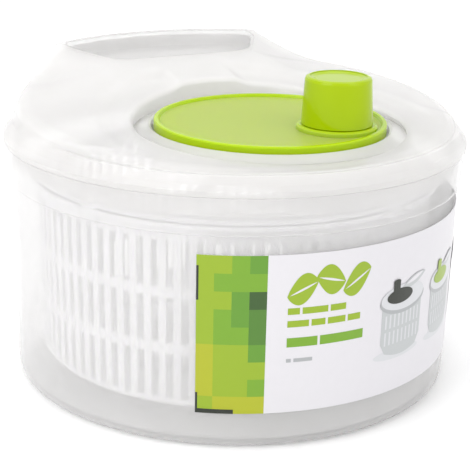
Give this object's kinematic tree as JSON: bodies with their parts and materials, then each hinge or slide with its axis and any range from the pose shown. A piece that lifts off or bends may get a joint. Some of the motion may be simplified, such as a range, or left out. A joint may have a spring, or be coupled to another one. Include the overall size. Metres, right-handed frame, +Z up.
{
  "type": "salad spinner",
  "caption": "Round translucent salad spinner with a slotted inner basket and a lid that has a raised pour hood, a geared crank disc and a free-turning knob.",
  "frame": {"origin": "centre of the bowl's base, on the surface it stands on", "axes": "+Z up along the basket's axis; +Y towards the pour hood; the crank lies towards -Y"},
  "size_m": [0.2064, 0.2064, 0.1438],
  "materials": {
    "frosted_bowl": "translucent frosted polypropylene, soft gloss",
    "frosted_lid": "milky translucent polypropylene, soft gloss",
    "basket_white": "milky polypropylene, satin",
    "lime_matte": "lime polypropylene, satin",
    "lime_gloss": "lime polypropylene, glossy",
    "gear_white": "natural acetal, satin",
    "steel": "brushed stainless steel",
    "label_print": "coated printed paper"
  },
  "bodies": {
    "bowl": {"bowl": "frosted_bowl", "label_sleeve": "label_print"},
    "pivot_foot": {"pivot_bush": "gear_white", "bush_clip": "steel"},
    "basket": {"basket": "basket_white"},
    "lid": {"lid_shell": "frosted_lid", "gear_housing": "frosted_lid", "pinion_bush": "gear_white", "crank_bush": "gear_white"},
    "crank": {"crank_disc": "lime_matte", "ring_gear": "gear_white", "crank_spindle": "steel", "crank_washer": "steel", "spindle_washer": "steel", "spindle_screw": "steel", "knob_post": "steel", "knob_washer": "steel", "knob_screw": "steel"},
    "knob": {"knob": "lime_gloss", "knob_cap": "lime_gloss"},
    "drive": {"pinion": "gear_white", "drive_shaft": "steel", "thrust_washer": "steel", "shaft_washer": "steel", "drive_plate": "basket_white", "drive_screw": "steel"}
  },
  "joints": [
    {"name": "lid_lift", "type": "slide", "parent": "bowl", "child": "lid", "axis": [0, 0, 1], "range_m": [0, 0.24]},
    {"name": "basket_lift", "type": "slide", "parent": "bowl", "child": "pivot_foot", "axis": [0, 0, 1], "range_m": [0, 0.108]},
    {"name": "basket_spin", "type": "hinge", "parent": "pivot_foot", "child": "basket", "pos_m": [0, 0, 0.012], "axis": [0, 0, 1], "continuous": true},
    {"name": "crank_spin", "type": "hinge", "parent": "lid", "child": "crank", "pos_m": [0, -0.0312, 0.1028], "axis": [0, 0, 1], "continuous": true},
    {"name": "knob_spin", "type": "hinge", "parent": "crank", "child": "knob", "pos_m": [0.01928, -0.05418, 0.1244], "axis": [0, 0, 1], "continuous": true},
    {"name": "drive_spin", "type": "hinge", "parent": "lid", "child": "drive", "pos_m": [0, 0, 0.1028], "axis": [0, 0, 1], "continuous": true}
  ],
  "couplings": [
    {"joint": "basket_lift", "follows": "lid_lift", "ratio": 0.45},
    {"joint": "drive_spin", "follows": "crank_spin", "ratio": 3.4375},
    {"joint": "basket_spin", "follows": "crank_spin", "ratio": 3.4375}
  ]
}
